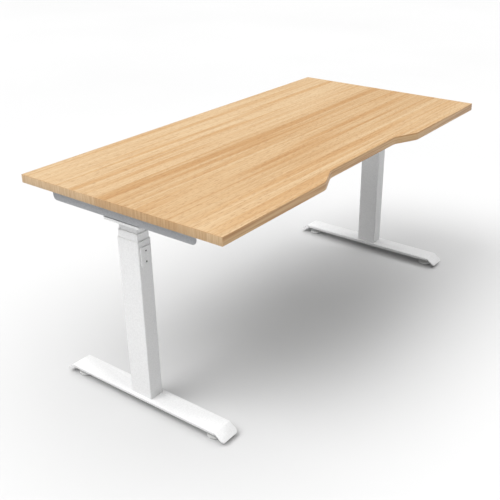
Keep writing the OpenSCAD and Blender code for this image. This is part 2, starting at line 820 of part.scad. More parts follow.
middle_guide(RIGHT);  // middle_guide_right
carrier_tube(LEFT);  // carrier_tube_left
carrier_tube(RIGHT);  // carrier_tube_right
push_tube(LEFT);  // push_tube_left
push_tube(RIGHT);  // push_tube_right
outer_tube(LEFT);  // outer_tube_left
outer_tube(RIGHT);  // outer_tube_right
outer_guide(LEFT);  // outer_guide_left
outer_guide(RIGHT);  // outer_guide_right
accessory_plate(LEFT);  // accessory_plate_left
accessory_plate(RIGHT);  // accessory_plate_right
foot(LEFT);  // foot_left
foot(RIGHT);  // foot_right
foot_bolts(LEFT);  // foot_bolts_left
foot_bolts(RIGHT);  // foot_bolts_right
glide(LEFT, FRONT);  // glide_left_front
glide(LEFT, REAR);  // glide_left_rear
glide(RIGHT, FRONT);  // glide_right_front
glide(RIGHT, REAR);  // glide_right_rear
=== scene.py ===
# %% [markdown]
# # A height adjustable standing desk
# This notebook dresses an oak-look sit-stand desk. A CAD model already gives every part its size and its
# place, and says which parts move. Here the parts get rounded edges, screws, cables and real surfaces.
# The steps are: load the frame, set up the camera, light and floor, make the materials, then model and
# finish the parts from the worktop down to the feet.

# %% Load the frame
import json
import math

import bpy
from mathutils import Matrix, Vector


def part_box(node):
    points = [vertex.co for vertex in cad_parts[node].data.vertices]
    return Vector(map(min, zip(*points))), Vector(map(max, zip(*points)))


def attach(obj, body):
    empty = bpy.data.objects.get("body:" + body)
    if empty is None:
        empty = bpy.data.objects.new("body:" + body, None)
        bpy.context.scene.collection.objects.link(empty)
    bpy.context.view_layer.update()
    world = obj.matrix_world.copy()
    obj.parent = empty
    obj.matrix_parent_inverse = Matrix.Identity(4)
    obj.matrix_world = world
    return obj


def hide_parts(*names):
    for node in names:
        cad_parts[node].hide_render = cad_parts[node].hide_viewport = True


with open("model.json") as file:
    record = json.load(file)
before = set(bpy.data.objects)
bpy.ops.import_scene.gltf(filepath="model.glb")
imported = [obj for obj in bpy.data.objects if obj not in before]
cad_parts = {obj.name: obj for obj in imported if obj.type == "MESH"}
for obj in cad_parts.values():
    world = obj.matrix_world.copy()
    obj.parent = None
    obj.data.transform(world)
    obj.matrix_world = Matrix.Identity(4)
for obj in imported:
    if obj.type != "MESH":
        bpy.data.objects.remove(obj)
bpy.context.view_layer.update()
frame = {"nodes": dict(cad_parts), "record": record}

# %% [markdown]
# ## The camera
# Furniture is usually shown from just above the eye line of the worktop and from one corner, so that the top,
# one end and one long side all show. A camera is placed by its position and by the direction that it looks
# in. Turning that direction into a rotation with to_track_quat keeps the picture level.

# %% Camera
bpy.ops.object.select_all(action="DESELECT")
bpy.ops.object.camera_add(location=(-2.030, -1.4515, 1.4485))
camera = bpy.context.object
camera.rotation_euler = Vector((0.733, 0.526, -0.4315)).to_track_quat("-Z", "Y").to_euler()
camera.data.sensor_width = 36
camera.data.lens = 55.5
camera.data.shift_x, camera.data.shift_y = -0.0524, -0.003
bpy.context.scene.camera = camera
print("lens", camera.data.lens, "mm")

# %% [markdown]
# ## Colours and nodes
# Colours are picked as sRGB hex values, which is how paint and decor samples are usually given. Shaders
# count light, so the values are turned linear first. All materials below are made of nodes, and one small
# function adds a node, sets it and links it. Keeping to one function makes each material read as a recipe.

# %% Colour and node helpers
def linear(hex_colour):
    """An sRGB hex colour as linear red, green, blue and alpha."""
    channels = [int(hex_colour[i:i + 2], 16) / 255 for i in (1, 3, 5)]
    return [c / 12.92 if c <= 0.04045 else ((c + 0.055) / 1.055) ** 2.4 for c in channels] + [1]


def add(material, kind, inputs={}, stops=None, **settings):
    """Adds a node and gives its first output. Inputs are values or outputs to link, stops are a ramp's."""
    node = material.node_tree.nodes.new("ShaderNode" + kind)
    for name, value in settings.items():
        setattr(node, name, value)
    for name, value in inputs.items():
        if isinstance(value, bpy.types.NodeSocket):
            material.node_tree.links.new(value, node.inputs[name])
        else:
            node.inputs[name].default_value = value
    if stops:
        while len(node.color_ramp.elements) < len(stops):
            node.color_ramp.elements.new(0.5)
        for element, (place, colour) in zip(node.color_ramp.elements, stops):
            element.position, element.color = place, linear(colour)
    return next(output for output in node.outputs if output.enabled)


def new_material(name, **values):
    """A material with a Principled shader that has these fixed values, and its Object coordinates."""
    material = bpy.data.materials.new(name)
    material.use_nodes = True
    shader = material.node_tree.nodes["Principled BSDF"]
    for socket, value in values.items():
        shader.inputs[socket.replace("_", " ")].default_value = value
    place = material.node_tree.nodes.new("ShaderNodeTexCoord").outputs["Object"]
    return material, shader, place


def plug_in(material, shader, **outputs):
    """Links outputs to the shader's sockets."""
    for name, output in outputs.items():
        material.node_tree.links.new(output, shader.inputs[name.replace("_", " ")])


print("mid grey is", round(linear("#808080")[0], 3), "in linear light")

# %% [markdown]
# ## The floor and the light
# The desk stands on a plain pale studio floor. Two lights do the work: a wide soft one straight above, and a
# narrower one high on the left and a little behind, with a faint sky to fill. The narrower one gives the
# direction: bright left faces, grey fronts, and a shadow that falls to the right. Sun lamps are used since
# they light the whole floor evenly, and their angle sets how soft the shadow's edge is. The backdrop is
# white, and the floor is clear from below, so that the desk can be looked at from any side.

# %% Floor and light
bpy.context.scene.view_settings.view_transform = "Standard"

floor_paint, shader, place = new_material("matt_floor_paint", Roughness=0.9)
cloud = add(floor_paint, "TexNoise", {"Vector": place, "Scale": 0.5, "Detail": 2.0})
plug_in(floor_paint, shader,
        Base_Color=add(floor_paint, "ValToRGB", {"Fac": cloud}, [(0.3, "#CCCCCC"), (0.7, "#CFCFCF")]))
from_below = floor_paint.node_tree.nodes.new("ShaderNodeNewGeometry").outputs["Backfacing"]
clear = add(floor_paint, "BsdfTransparent")
seen = add(floor_paint, "MixShader", {0: from_below, 1: shader.outputs[0], 2: clear})
floor_paint.node_tree.links.new(seen, floor_paint.node_tree.nodes["Material Output"].inputs["Surface"])

bpy.ops.mesh.primitive_plane_add(size=80)
floor = bpy.context.object
floor.name = "floor"
floor.data.materials.append(floor_paint)

SKY = 0.11
world = bpy.data.worlds.new("studio")
bpy.context.scene.world = world
world.use_nodes = True
fill = world.node_tree.nodes["Background"]
fill.inputs["Color"].default_value, fill.inputs["Strength"].default_value = linear("#FFFFFF"), SKY
backdrop = add(world, "Background", {"Color": linear("#FFFFFF"), "Strength": 0.95})
is_seen = world.node_tree.nodes.new("ShaderNodeLightPath").outputs["Is Camera Ray"]
sky = add(world, "MixShader", {0: is_seen, 1: fill.outputs[0], 2: backdrop})
world.node_tree.links.new(sky, world.node_tree.nodes["World Output"].inputs["Surface"])

SUNS = {"overhead": ((0, 0, 1), 90, 1.1), "key": ((-0.533, 0.308, 0.788), 40, 0.54)}
for name, (towards, angle, share) in SUNS.items():
    bpy.ops.object.light_add(type="SUN", location=(0, 0, 3))
    sun = bpy.context.object
    sun.name = name + "_light"
    sun.data.angle = math.radians(angle)
    sun.data.energy = share * math.pi
    sun.rotation_euler = (-Vector(towards)).to_track_quat("-Z", "Y").to_euler()
print("sky", SKY, "suns", {name: share for name, (_, _, share) in SUNS.items()})

# %% [markdown]
# ## Oak decor
# The worktop is particle board faced with melamine: paper printed with an oak decor, soaked in resin and
# pressed hot against a plate, which leaves a satin skin. The print shows rift-sawn oak planks side by side,
# each of its own tone, with straight grain along the length, soft streaks, lines of 3 to 8 mm, and short dark
# pores. An image could hold such a print, but noise gives it at any size without a repeat. A one-dimensional
# Voronoi pattern picks the planks, about 95 mm wide, and stretched noises, each scaled from the size in
# millimetres of what it draws, give the grain. The board's underside is faced with a plain pale backing
# sheet, which only keeps it from bowing. The normal tells the two faces apart.

# %% Melamine with an oak print
Y_AXIS, Z_AXIS = 1, 2
PLANK_WIDTH = 95


def grain(material, place, length_mm, width_mm, across, detail=2.0, shift=0.0):
    """Noise drawn out along the grain: patches of about length by width. across is the width's direction."""
    scale = [1000 / length_mm] * 3
    scale[across] = 1000 / width_mm
    stretched = add(material, "Mapping", {"Vector": place, "Location": (shift, shift, shift), "Scale": scale})
    return add(material, "TexNoise", {"Vector": stretched, "Scale": 1.0, "Detail": detail})


def blended(material, fac, first, second, mode="MIX"):
    """Two colours mixed by fac."""
    mix = material.node_tree.nodes.new("ShaderNodeMix")
    mix.data_type, mix.blend_type = "RGBA", mode
    for socket, value in ((0, fac), (6, first), (7, second)):
        if isinstance(value, bpy.types.NodeSocket):
            material.node_tree.links.new(value, mix.inputs[socket])
        else:
            mix.inputs[socket].default_value = value
    return mix.outputs[2]


def planks(material, place):
    """A random colour for each plank that the print shows. The planks lie along X."""
    depth = add(material, "SeparateXYZ", {"Vector": place}).node.outputs["Y"]
    cells = add(material, "TexVoronoi", {"W": depth, "Scale": 1000 / PLANK_WIDTH, "Randomness": 0.6},
                voronoi_dimensions="1D")
    return cells.node.outputs["Color"]


def oak_print(material, place):
    """The printed oak colour, and the pores for the bump. The grain lies along X."""
    plank = planks(material, place)
    place = add(material, "VectorMath", {0: place, 1: plank}, operation="ADD")
    drift = grain(material, place, 700, 160, Y_AXIS, 1.0, 3.1)
    bend = add(material, "VectorMath", {0: (0.012, 0.012, 0.012), 1: drift}, operation="MULTIPLY")
    place = add(material, "VectorMath", {0: place, 1: bend}, operation="ADD")
    streaks = grain(material, place, 1100, 26, Y_AXIS, 2.0, 12.4)
    lines = grain(material, place, 500, 7, Y_AXIS, 3.0, 5.7)
    pores = grain(material, place, 22, 2.6, Y_AXIS, 2.0, 9.3)
    base = add(material, "ValToRGB", {"Fac": plank},
               [(0.25, "#BE9B70"), (0.4, "#C6A67D"), (0.6, "#CBAD86"), (0.75, "#D0B58F")])
    lined = add(material, "ValToRGB", {"Fac": lines},
                [(0.33, "#B08D63"), (0.48, "#C4A57E"), (0.62, "#CEB895")])
    warm = add(material, "ValToRGB", {"Fac": streaks}, [(0.5, "#FFFFFF"), (0.62, "#EAD2B0")])
    flecks = add(material, "ValToRGB", {"Fac": pores}, [(0.35, "#AE8456"), (0.46, "#FFFFFF")])
    colour = blended(material, 0.42, base, lined)
    colour = blended(material, 0.6, colour, warm, "MULTIPLY")
    return blended(material, 0.36, colour, flecks, "MULTIPLY"), pores


finish = {}
oak, shader, place = new_material("melamine_oak_decor", IOR=1.5)
colour, pores = oak_print(oak, place)
rough = add(oak, "MapRange", {"Value": pores, "To Min": 0.5, "To Max": 0.38})
relief = add(oak, "Bump", {"Height": pores, "Strength": 0.15, "Distance": 0.0002})
speck = add(oak, "TexNoise", {"Vector": place, "Scale": 1000 / 5, "Detail": 3.0})
backing = add(oak, "ValToRGB", {"Fac": speck}, [(0.35, "#C3C2C0"), (0.65, "#CFCECC")])
upright = oak.node_tree.nodes.new("ShaderNodeSeparateXYZ").outputs["Z"]
oak.node_tree.links.new(oak.node_tree.nodes["Texture Coordinate"].outputs["Normal"], upright.node.inputs[0])
is_under = add(oak, "Math", {0: upright, 1: -0.5}, operation="LESS_THAN")
plug_in(oak, shader, Base_Color=blended(oak, is_under, colour, backing), Roughness=rough, Normal=relief)
finish["oak_laminate"] = oak
print("oak decor nodes:", len(oak.node_tree.nodes))

# %% [markdown]
# ## Edge band
# The board's raw edges are closed with an ABS strip, 1.5 mm thick, printed to go with the face. On the long
# sides its streaks run with the grain. On the two ends it is printed as fine upright lines, which stand for
# the ends of the growth rings, and take the tone of the plank above. The normal tells the two apart, so one
# material serves the whole strip.

# %% Printed ABS edging
edging, shader, place = new_material("abs_edging_oak_print", IOR=1.52)
long_streaks = grain(edging, place, 260, 4.0, Z_AXIS, 3.0)
end_lines = grain(edging, place, 60, 2.8, Y_AXIS, 3.0, 2.2)
plank = planks(edging, place)
normal = edging.node_tree.nodes["Texture Coordinate"].outputs["Normal"]
facing = add(edging, "SeparateXYZ", {"Vector": normal})
is_end = add(edging, "Math", {0: add(edging, "Math", {0: facing}, operation="ABSOLUTE"), 1: 0.8},
             operation="GREATER_THAN")
sides = add(edging, "ValToRGB", {"Fac": long_streaks},
            [(0.36, "#AE8253"), (0.5, "#C2996B"), (0.62, "#CDAB7E")])
ends = add(edging, "ValToRGB", {"Fac": end_lines}, [(0.34, "#BC9C74"), (0.5, "#C7A982"), (0.66, "#D2B894")])
end_tone = add(edging, "ValToRGB", {"Fac": plank}, [(0.25, "#E6D2B6"), (0.75, "#FFFFFF")])
ends = blended(edging, 0.7, ends, end_tone, "MULTIPLY")
relief = add(edging, "Bump", {"Height": long_streaks, "Strength": 0.1, "Distance": 0.0002})
rough = add(edging, "MapRange", {"Value": end_lines, "To Min": 0.42, "To Max": 0.52})
plug_in(edging, shader, Base_Color=blended(edging, is_end, sides, ends), Roughness=rough, Normal=relief)
finish["edge_strip"] = edging
print("edging nodes:", len(edging.node_tree.nodes))

# %% [markdown]
# ## Powder coat
# The steel frame is coated with epoxy-polyester powder, sprayed on dry and baked until it flows. It never
# lies quite flat: the fine-texture grade used on desk frames has grains under a millimetre. Grains that
# small can't show from across a room, so a second, coarser mottling of a few millimetres is added to the
# tone. The white coat is for the columns and feet, and a silver grey one for the parts under the top.

# %% Epoxy powder coats
GRAIN_SIZE, MOTTLE_SIZE = 0.8, 4.5


def powder_coat(name, low, high):
    """Fine-texture powder coat between two close tones."""
    coat, shader, place = new_material(name, IOR=1.5)
    grains = add(coat, "TexNoise", {"Vector": place, "Scale": 1000 / GRAIN_SIZE, "Detail": 2.0})
    mottle = add(coat, "TexNoise", {"Vector": place, "Scale": 1000 / MOTTLE_SIZE, "Detail": 3.0,
                                    "Roughness": 0.6})
    tone = add(coat, "ValToRGB", {"Fac": mottle}, [(0.36, low), (0.64, high)])
    rough = add(coat, "MapRange", {"Value": grains, "To Min": 0.42, "To Max": 0.6})
    relief = add(coat, "Bump", {"Height": grains, "Strength": 0.25, "Distance": 0.0002})
    plug_in(coat, shader, Base_Color=tone, Roughness=rough, Normal=relief)
    return coat


finish["white_powder_coat"] = powder_coat("epoxy_powder_coat_white", "#E4E4E4", "#ECECEC")
finish["grey_powder_coat"] = powder_coat("epoxy_powder_coat_silver", "#9EA0A3", "#ABACAF")
print("powder coats: grains", GRAIN_SIZE, "mm, mottling", MOTTLE_SIZE, "mm")

# %% [markdown]
# ## Bare and plated metals
# Four metals are left uncoated. Screws, motor cans and the control box's lid are zinc plated: a thin bright
# layer with a faint blue and yellow cast. The spindles are bright rolled steel, the tubes round them are
# drawn steel with marks along their length, and the gearbox is die-cast aluminium with a dull, mottled skin.
# A metal's look is nearly all reflection, so the noise goes mostly to the roughness.

# %% Metals
def metal(name, low, high, rough_low, rough_high, size_mm, drawn=1.0):
    """A bare metal. size_mm is its mottling, drawn is how many times longer that is along Z."""
    bare, shader, place = new_material(name, Metallic=1.0)
    stretched = add(bare, "Mapping", {"Vector": place, "Scale": (1, 1, 1 / drawn)})
    mottle = add(bare, "TexNoise", {"Vector": stretched, "Scale": 1000 / size_mm, "Detail": 3.0})
    tone = add(bare, "ValToRGB", {"Fac": mottle}, [(0.35, low), (0.65, high)])
    rough = add(bare, "MapRange", {"Value": mottle, "To Min": rough_low, "To Max": rough_high})
    relief = add(bare, "Bump", {"Height": mottle, "Strength": 0.15, "Distance": 0.0002})
    plug_in(bare, shader, Base_Color=tone, Roughness=rough, Normal=relief)
    return bare


finish["zinc_steel"] = metal("zinc_plated_steel", "#B4B8BF", "#CDCBC2", 0.28, 0.42, 6)
finish["carrier_steel"] = metal("drawn_steel", "#84868A", "#9B9DA0", 0.3, 0.5, 1.5, 40)
finish["cast_case"] = metal("die_cast_aluminium", "#8C8E90", "#A8AAAB", 0.5, 0.68, 1.2)
finish["bright_steel"] = metal("rolled_steel", "#A6A8AB", "#BDBEC0", 0.2, 0.34, 3)
print("metals:", [finish[slot].name for slot in ("zinc_steel", "carrier_steel", "cast_case", "bright_steel")])

# %% [markdown]
# ## Plastics
# The glides, guides and clips are white nylon, which is waxy and lets a little light in. The control box and
# the handset are black ABS from a spark-eroded mould, which leaves an even matt grain. The keys are grey ABS,
# the display's window is clear acrylic over a dark screen, and the cables have a soft PVC sheath.

# %% Moulded plastics
def moulded(name, low, high, rough_low, rough_high, grain_mm, **values):
    """A moulded plastic whose mould left an even grain."""
    plastic, shader, place = new_material(name, **values)
    texture = add(plastic, "TexNoise", {"Vector": place, "Scale": 1000 / grain_mm, "Detail": 2.0})
    tone = add(plastic, "ValToRGB", {"Fac": texture}, [(0.35, low), (0.65, high)])
    rough = add(plastic, "MapRange", {"Value": texture, "To Min": rough_low, "To Max": rough_high})
    relief = add(plastic, "Bump", {"Height": texture, "Strength": 0.2, "Distance": 0.0002})
    plug_in(plastic, shader, Base_Color=tone, Roughness=rough, Normal=relief)
    return plastic


finish["white_nylon"] = moulded("moulded_nylon_white", "#DCDDDC", "#E6E6E4", 0.4, 0.52, 2.0, IOR=1.53,
                                Subsurface_Weight=0.08, Subsurface_Scale=0.002,
                                Subsurface_Radius=(1.0, 0.9, 0.8))
finish["black_abs"] = moulded("spark_textured_abs_black", "#17181A", "#232426", 0.5, 0.66, 0.9, IOR=1.54)
finish["grey_key"] = moulded("moulded_abs_grey", "#85878A", "#909294", 0.42, 0.52, 0.8, IOR=1.54)
finish["display_window"] = moulded("acrylic_window_dark", "#07080A", "#0C0E12", 0.05, 0.1, 8.0, IOR=1.49,
                                   Coat_Weight=0.5, Coat_Roughness=0.03)
finish["cable_sheath"] = moulded("pvc_sheath_black", "#141416", "#1F2022", 0.45, 0.6, 1.6, IOR=1.53)
print("plastics:", [m.name for m in finish.values()][-5:])

# %% [markdown]
# ## Circuit board
# The board inside the control box is glass fibre with a green solder resist over copper tracks. It is only
# seen if the box is opened, so tracks and pads are drawn by a brick pattern and dots, and not modelled.

# %% Solder resist over copper
board, shader, place = new_material("solder_resist_green", IOR=1.55)
tracks = board.node_tree.nodes.new("ShaderNodeTexBrick")
tracks.inputs["Scale"].default_value = 1000 / 9
tracks.inputs["Mortar Size"].default_value = 0.06
board.node_tree.links.new(place, tracks.inputs["Vector"])
pads = add(board, "TexVoronoi", {"Vector": place, "Scale": 1000 / 5})
is_pad = add(board, "Math", {0: pads, 1: 0.16}, operation="LESS_THAN")
green = blended(board, tracks.outputs["Fac"], linear("#17502A"), linear("#2C7A43"))
plug_in(board, shader, Base_Color=blended(board, is_pad, green, linear("#C9C4B4")), Metallic=is_pad,
        Roughness=add(board, "MapRange", {"Value": is_pad, "To Min": 0.4, "To Max": 0.28}))
finish["circuit_board"] = board
print("materials made:", len(finish))

# %% [markdown]
# ## Putting the finishes on
# The CAD record names a finish for every part, so one loop covers all sixty parts. The CAD parts that have
# the right shape as they are, such as the tubes and the board, are done with this step.

# %% Finish every CAD part
slot_of = {part["node"]: part["material_slot"] for part in frame["record"]["subparts"]}
body_of = {node: body for body, nodes in frame["record"]["behaviour"]["bodies"].items() for node in nodes}
for node, slot in slot_of.items():
    frame["nodes"][node].data.materials[0] = finish[slot]
print("finished parts:", len(slot_of))

# %% [markdown]
# ## Modelling helpers
# A sheet, a moulding or a board never has a knife edge. A bevel of half a millimetre or so catches the light
# and is much of what tells a real part from a drawing. The CAD parts are fixed, so each one is copied, its
# loose triangles are merged into whole faces, and the copy's edges are eased with the Bevel modifier.

# %% Copy a CAD part and ease its edges
def only(piece):
    """Makes one piece the active and only selected one."""
    bpy.ops.object.select_all(action="DESELECT")
    piece.select_set(True)
    bpy.context.view_layer.objects.active = piece


def merged_copy(node, name):
    """A copy of a CAD part with its triangles merged into flat faces."""
    piece = bpy.data.objects.new(name, frame["nodes"][node].data.copy())
    bpy.context.collection.objects.link(piece)
    only(piece)
    bpy.ops.mesh.customdata_custom_splitnormals_clear()
    bpy.ops.object.mode_set(mode="EDIT")
    bpy.ops.mesh.select_all(action="SELECT")
    bpy.ops.mesh.remove_doubles(threshold=1e-6)
    bpy.ops.mesh.dissolve_limited(angle_limit=math.radians(0.5))
    bpy.ops.object.mode_set(mode="OBJECT")
    return piece


def ease(piece, radius_mm, segments=2, angle=35):
    """Rounds the edges that are sharper than angle."""
    only(piece)
    bevel = piece.modifiers.new("ease", "BEVEL")
    bevel.width, bevel.segments = radius_mm / 1000, segments
    bevel.limit_method, bevel.angle_limit = "ANGLE", math.radians(angle)
    bpy.ops.object.modifier_apply(modifier=bevel.name)
    return piece


def dress(piece, slot, body, smooth=30):
    """Gives a piece its finish and smooth shading, and makes it move with a body."""
    only(piece)
    bpy.ops.object.shade_smooth_by_angle(angle=math.radians(smooth))
    piece.data.materials.clear()
    piece.data.materials.append(finish[slot])
    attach(piece, body)
    return piece


def eased_part(node, ending, radius_mm, segments=2, angle=35):
    """An eased copy that stands for a CAD part, and moves and is finished as it is."""
    piece = ease(merged_copy(node, node + ending), radius_mm, segments, angle)
    dress(piece, slot_of[node], body_of[node])
    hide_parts(node)
    return piece


edging_piece = eased_part("edge_band", "_eased", 0.5)
print("edge band faces:", len(edging_piece.data.polygons))

# %% [markdown]
# ## Steel frame parts
# The side brackets and the housings are laser cut and folded from sheet, the rails are welded box section,
# and each foot is a folded plate with a lip along either side. A coat of powder builds up round their edges,
# so each edge is a soft one of about a millimetre. The sizes of the easing follow the thickness of each part.

# %% Ease the frame's edges
EASED = {"side_bracket": 0.7, "end_housing": 0.7, "housing_cover": 0.6, "accessory_plate": 0.6,
         "rail_front": 1.2, "rail_rear": 1.2, "foot": 0.8}
for part, radius in EASED.items():
    for side in ("left", "right"):
        piece = eased_part(f"{part}_{side}", "_eased", radius)
        print(piece.name, "faces", len(piece.data.polygons))

# %% [markdown]
# ## Turned parts
# Screws, bolts, motors, glides and cable plugs are all round, and are turned or moulded from a profile. Such
# a part could be spun from a drawn line. Here a short cone is added, and its top face is extruded and resized
# once for every step of the profile, which keeps the shape closed all the way and needs no cleaning up.

# %% Pick faces and turn a profile
def pick_faces(piece, wanted):
    """Enters edit mode with only those faces selected whose centre in mm and normal are wanted."""
    only(piece)
    bpy.ops.object.mode_set(mode="EDIT")
    bpy.ops.mesh.select_mode(type="FACE")
    bpy.ops.mesh.select_all(action="DESELECT")
    bpy.ops.object.mode_set(mode="OBJECT")
    for face in piece.data.polygons:
        face.select = bool(wanted(face.center * 1000, face.normal))
    bpy.ops.object.mode_set(mode="EDIT")


def primitive(kind, name, centre_mm=(0, 0, 0), **size):
    """Adds a primitive with its place in its mesh."""
    bpy.ops.object.select_all(action="DESELECT")
    getattr(bpy.ops.mesh, f"primitive_{kind}_add")(location=Vector(centre_mm) / 1000, **size)
    piece = bpy.context.object
    piece.name = name
    bpy.ops.object.transform_apply(location=True, rotation=True, scale=True)
    return piece


def block(name, centre_mm, size_mm):
    """A box from its centre and its size in mm."""
    piece = primitive("cube", name, size=1)
    scale = Matrix.Diagonal([length / 1000 for length in size_mm]).to_4x4()
    piece.data.transform(Matrix.Translation(Vector(centre_mm) / 1000) @ scale)
    return piece


def turned(name, profile, sides=32):
    """A round part on the Z axis from pairs of height and radius in mm, the lowest first."""
    (low, radius), (high, radius_above) = profile[:2]
    piece = primitive("cone", name, (0, 0, (low + high) / 2), vertices=sides, radius1=radius / 1000,
                      radius2=radius_above / 1000, depth=(high - low) / 1000)
    pick_faces(piece, lambda centre, normal: normal.z > 0.99 and centre.z > high - 0.01)
    for (height, radius), (next_height, next_radius) in zip(profile[1:], profile[2:]):
        bpy.ops.mesh.extrude_region_move(
            TRANSFORM_OT_translate={"value": (0, 0, (next_height - height) / 1000)})
        grow = next_radius / radius
        bpy.ops.transform.resize(value=(grow, grow, 1), center_override=(0, 0, next_height / 1000))
    bpy.ops.object.mode_set(mode="OBJECT")
    return piece


def combine(piece, tool, operation="DIFFERENCE"):
    """Cuts a piece with a tool, or keeps what they share, and removes the tool."""
    only(piece)
    modifier = piece.modifiers.new("combine", "BOOLEAN")
    modifier.operation, modifier.object, modifier.solver = operation, tool, "EXACT"
    bpy.ops.object.modifier_apply(modifier=modifier.name)
    bpy.data.objects.remove(tool)
    return piece


def join(pieces, name):
    """Joins pieces into one."""
    only(pieces[0])
    for piece in pieces:
        piece.select_set(True)
    bpy.ops.object.join()
    pieces[0].name = name
    return pieces[0]


def copies(model, name, spots):
    """One piece made of copies of a model. A spot is the model's new origin in mm and where its +Z points."""
    made = []
    for centre, towards in spots:
        copy = bpy.data.objects.new(name, model.data.copy())
        bpy.context.collection.objects.link(copy)
        turn = Vector(towards).to_track_quat("Z", "Y").to_matrix().to_4x4()
        copy.data.transform(Matrix.Translation(Vector(centre) / 1000) @ turn)
        made.append(copy)
    return join(made, name)


def box_mm(node):
    """A CAD part's box in mm."""
    return [corner * 1000 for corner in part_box(node)]


def loose_boxes(node):
    """The box in mm of each separate solid in a CAD part."""
    only(merged_copy(node, "measured"))
    bpy.ops.mesh.separate(type="LOOSE")
    boxes = []
    for solid in list(bpy.context.selected_objects):
        points = [vertex.co * 1000 for vertex in solid.data.vertices]
        boxes.append([Vector([edge(point[axis] for point in points) for axis in range(3)])
                      for edge in (min, max)])
        bpy.data.objects.remove(solid)
    return sorted(boxes, key=lambda box: tuple(box[0]))


print("screws in the frame:", len(loose_boxes("frame_screws")))

# %% [markdown]
# ## Frame screws
# The head is a low dome, and the socket is a 4 mm hexagon cut 1.8 mm deep by a six-sided cylinder. The CAD
# has a plain stand-in for each, and its box says where the screw sits and which way.

# %% M6 button-head screws
M6_HEAD = 3
model = turned("m6_model", [(-9, 2.4), (-8.4, 2.9), (-0.05, 2.9), (0, 5.3), (0.3, 5.5), (1.0, 5.4),
                            (1.9, 4.8), (2.6, 3.9), (M6_HEAD, 2.9)], 28)
combine(model, primitive("cylinder", "key", (0, 0, M6_HEAD), vertices=6, radius=0.00231, depth=0.0036))
spots = []
for low, high in loose_boxes("frame_screws"):
    centre, size = (low + high) / 2, high - low
    if abs(size.y - 12) < 0.1:
        outward = math.copysign(1, centre.y)
        under_head = outward * (max(abs(low.y), abs(high.y)) - M6_HEAD)
        spots.append(((centre.x, under_head, centre.z), (0, outward, 0)))
    else:
        spots.append(((centre.x, centre.y, low.z + M6_HEAD), (0, 0, -1)))
screws = dress(copies(model, "frame_screws_button_head", spots), "zinc_steel", "top")
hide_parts("frame_screws")
bpy.data.objects.remove(model)
print("button-head screws:", len(spots))

# %% [markdown]
# ## Wood screws
# The brackets and the control box hang from the worktop by pan-head wood screws. Their cross recess is cut by
# two slim bars that cross at the middle. The control box's four screws aren't in the CAD, so they are short.

# %% Pan-head screws with a cross recess
PAN_HEAD = 2.5


def pan_head(length):
    """A pan-head screw whose shank is as long as given, in mm."""
    screw = turned("pan_model", [(-length, 0.8), (-length + 2, 2.2), (-0.05, 2.2), (0, 4.8), (0.4, 5.0),
                                 (1.2, 4.7), (2.0, 3.8), (PAN_HEAD, 2.5)], 28)
    for size in ((4.5, 0.9, 3.0), (0.9, 4.5, 3.0)):
        combine(screw, block("bar", (0, 0, PAN_HEAD), size))
    return screw


model = pan_head(17.4)
spots = [((*((low + high) / 2).xy, low.z + PAN_HEAD), (0, 0, -1)) for low, high in loose_boxes("wood_screws")]
screws = dress(copies(model, "wood_screws_pan_head", spots), "zinc_steel", "top")
in_wood = len(spots)
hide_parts("wood_screws")
bpy.data.objects.remove(model)

model = pan_head(1.9)
low, high = box_mm("control_lid")
spots = [((x, y, low.z), (0, 0, -1)) for x in (low.x + 6, high.x - 6) for y in (low.y + 12, high.y - 12)]
dress(copies(model, "control_lid_screws", spots), "zinc_steel", "top")
bpy.data.objects.remove(model)
print("pan-head screws:", in_wood + len(spots))

# %% [markdown]
# ## Foot bolts
# Each column stands on its foot by four M8 hexagon bolts, put in from below. A real bolt's corners are
# chamfered by the tool that faces the head, so the hexagon is cut to what it shares with a turned blank.

# %% M8 hexagon bolts
M8_HEAD = 5
head = primitive("cylinder", "m8_model", (0, 0, M8_HEAD / 2), vertices=6, radius=0.0065, depth=M8_HEAD / 1000)
combine(head, turned("blank", [(-0.1, 6.6), (4.2, 6.6), (M8_HEAD + 0.02, 5.3)], 36), "INTERSECT")
ease(head, 0.25, 1)
combine(head, turned("dish", [(4.4, 3.4), (M8_HEAD + 0.4, 4.0)], 24))
model = join([head, turned("shank", [(-7.3, 3.4), (-6.6, 3.95), (0.3, 3.95)], 24)], "m8_model")
for side in ("left", "right"):
    node = f"foot_bolts_{side}"
    spots = [((*((low + high) / 2).xy, low.z + M8_HEAD), (0, 0, -1)) for low, high in loose_boxes(node)]
    bolts = dress(copies(model, node + "_hexagon", spots), "zinc_steel", f"base_{side}")
    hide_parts(node)
bpy.data.objects.remove(model)
print("bolts for each foot:", len(spots))

# %% [markdown]
# ## Motors
# Each leg has its own direct-current motor: a drawn steel can with a rolled groove near either end, a flange
# against the gearbox, and an end cap with cooling slots and two tie-bolt nuts. The can is one turned profile.
# The slots are cut by small bars set round the cap, and a ribbed rubber gland grips the lead.

# %% Motor and cable gland
CAN, CAP, SLOTS_ROUND_CAP = 24, 21, 8
model = turned("motor_model", [
    (0, 9.6), (0.4, 10), (4.95, 10), (5, 19.4), (5.5, 20), (8.5, 20), (8.95, 19.6), (9, 23.2), (9.8, CAN),
    (16, CAN), (16.7, 23.2), (18, 23.2), (18.7, CAN), (92, CAN), (92.7, 23.2), (94, 23.2), (94.7, CAN),
    (103.2, CAN), (103.95, 23.2), (104, CAP), (110.6, CAP), (112, 19.6)], 48)
for step in range(SLOTS_ROUND_CAP):
    bar = block("bar", (CAP, 0, 107.2), (5, 6, 2.6))
    bar.data.transform(Matrix.Rotation(math.radians(360 / SLOTS_ROUND_CAP * step), 4, "Z"))
    combine(model, bar)
nut = turned("nut", [(111.5, 2.9), (113.4, 2.9), (113.8, 2.5)], 6)
pair = copies(nut, "nuts", [((14, 0, 0), (0, 0, 1)), ((-14, 0, 0), (0, 0, 1))])
bpy.data.objects.remove(nut)
model = join([model, pair], "motor_model")
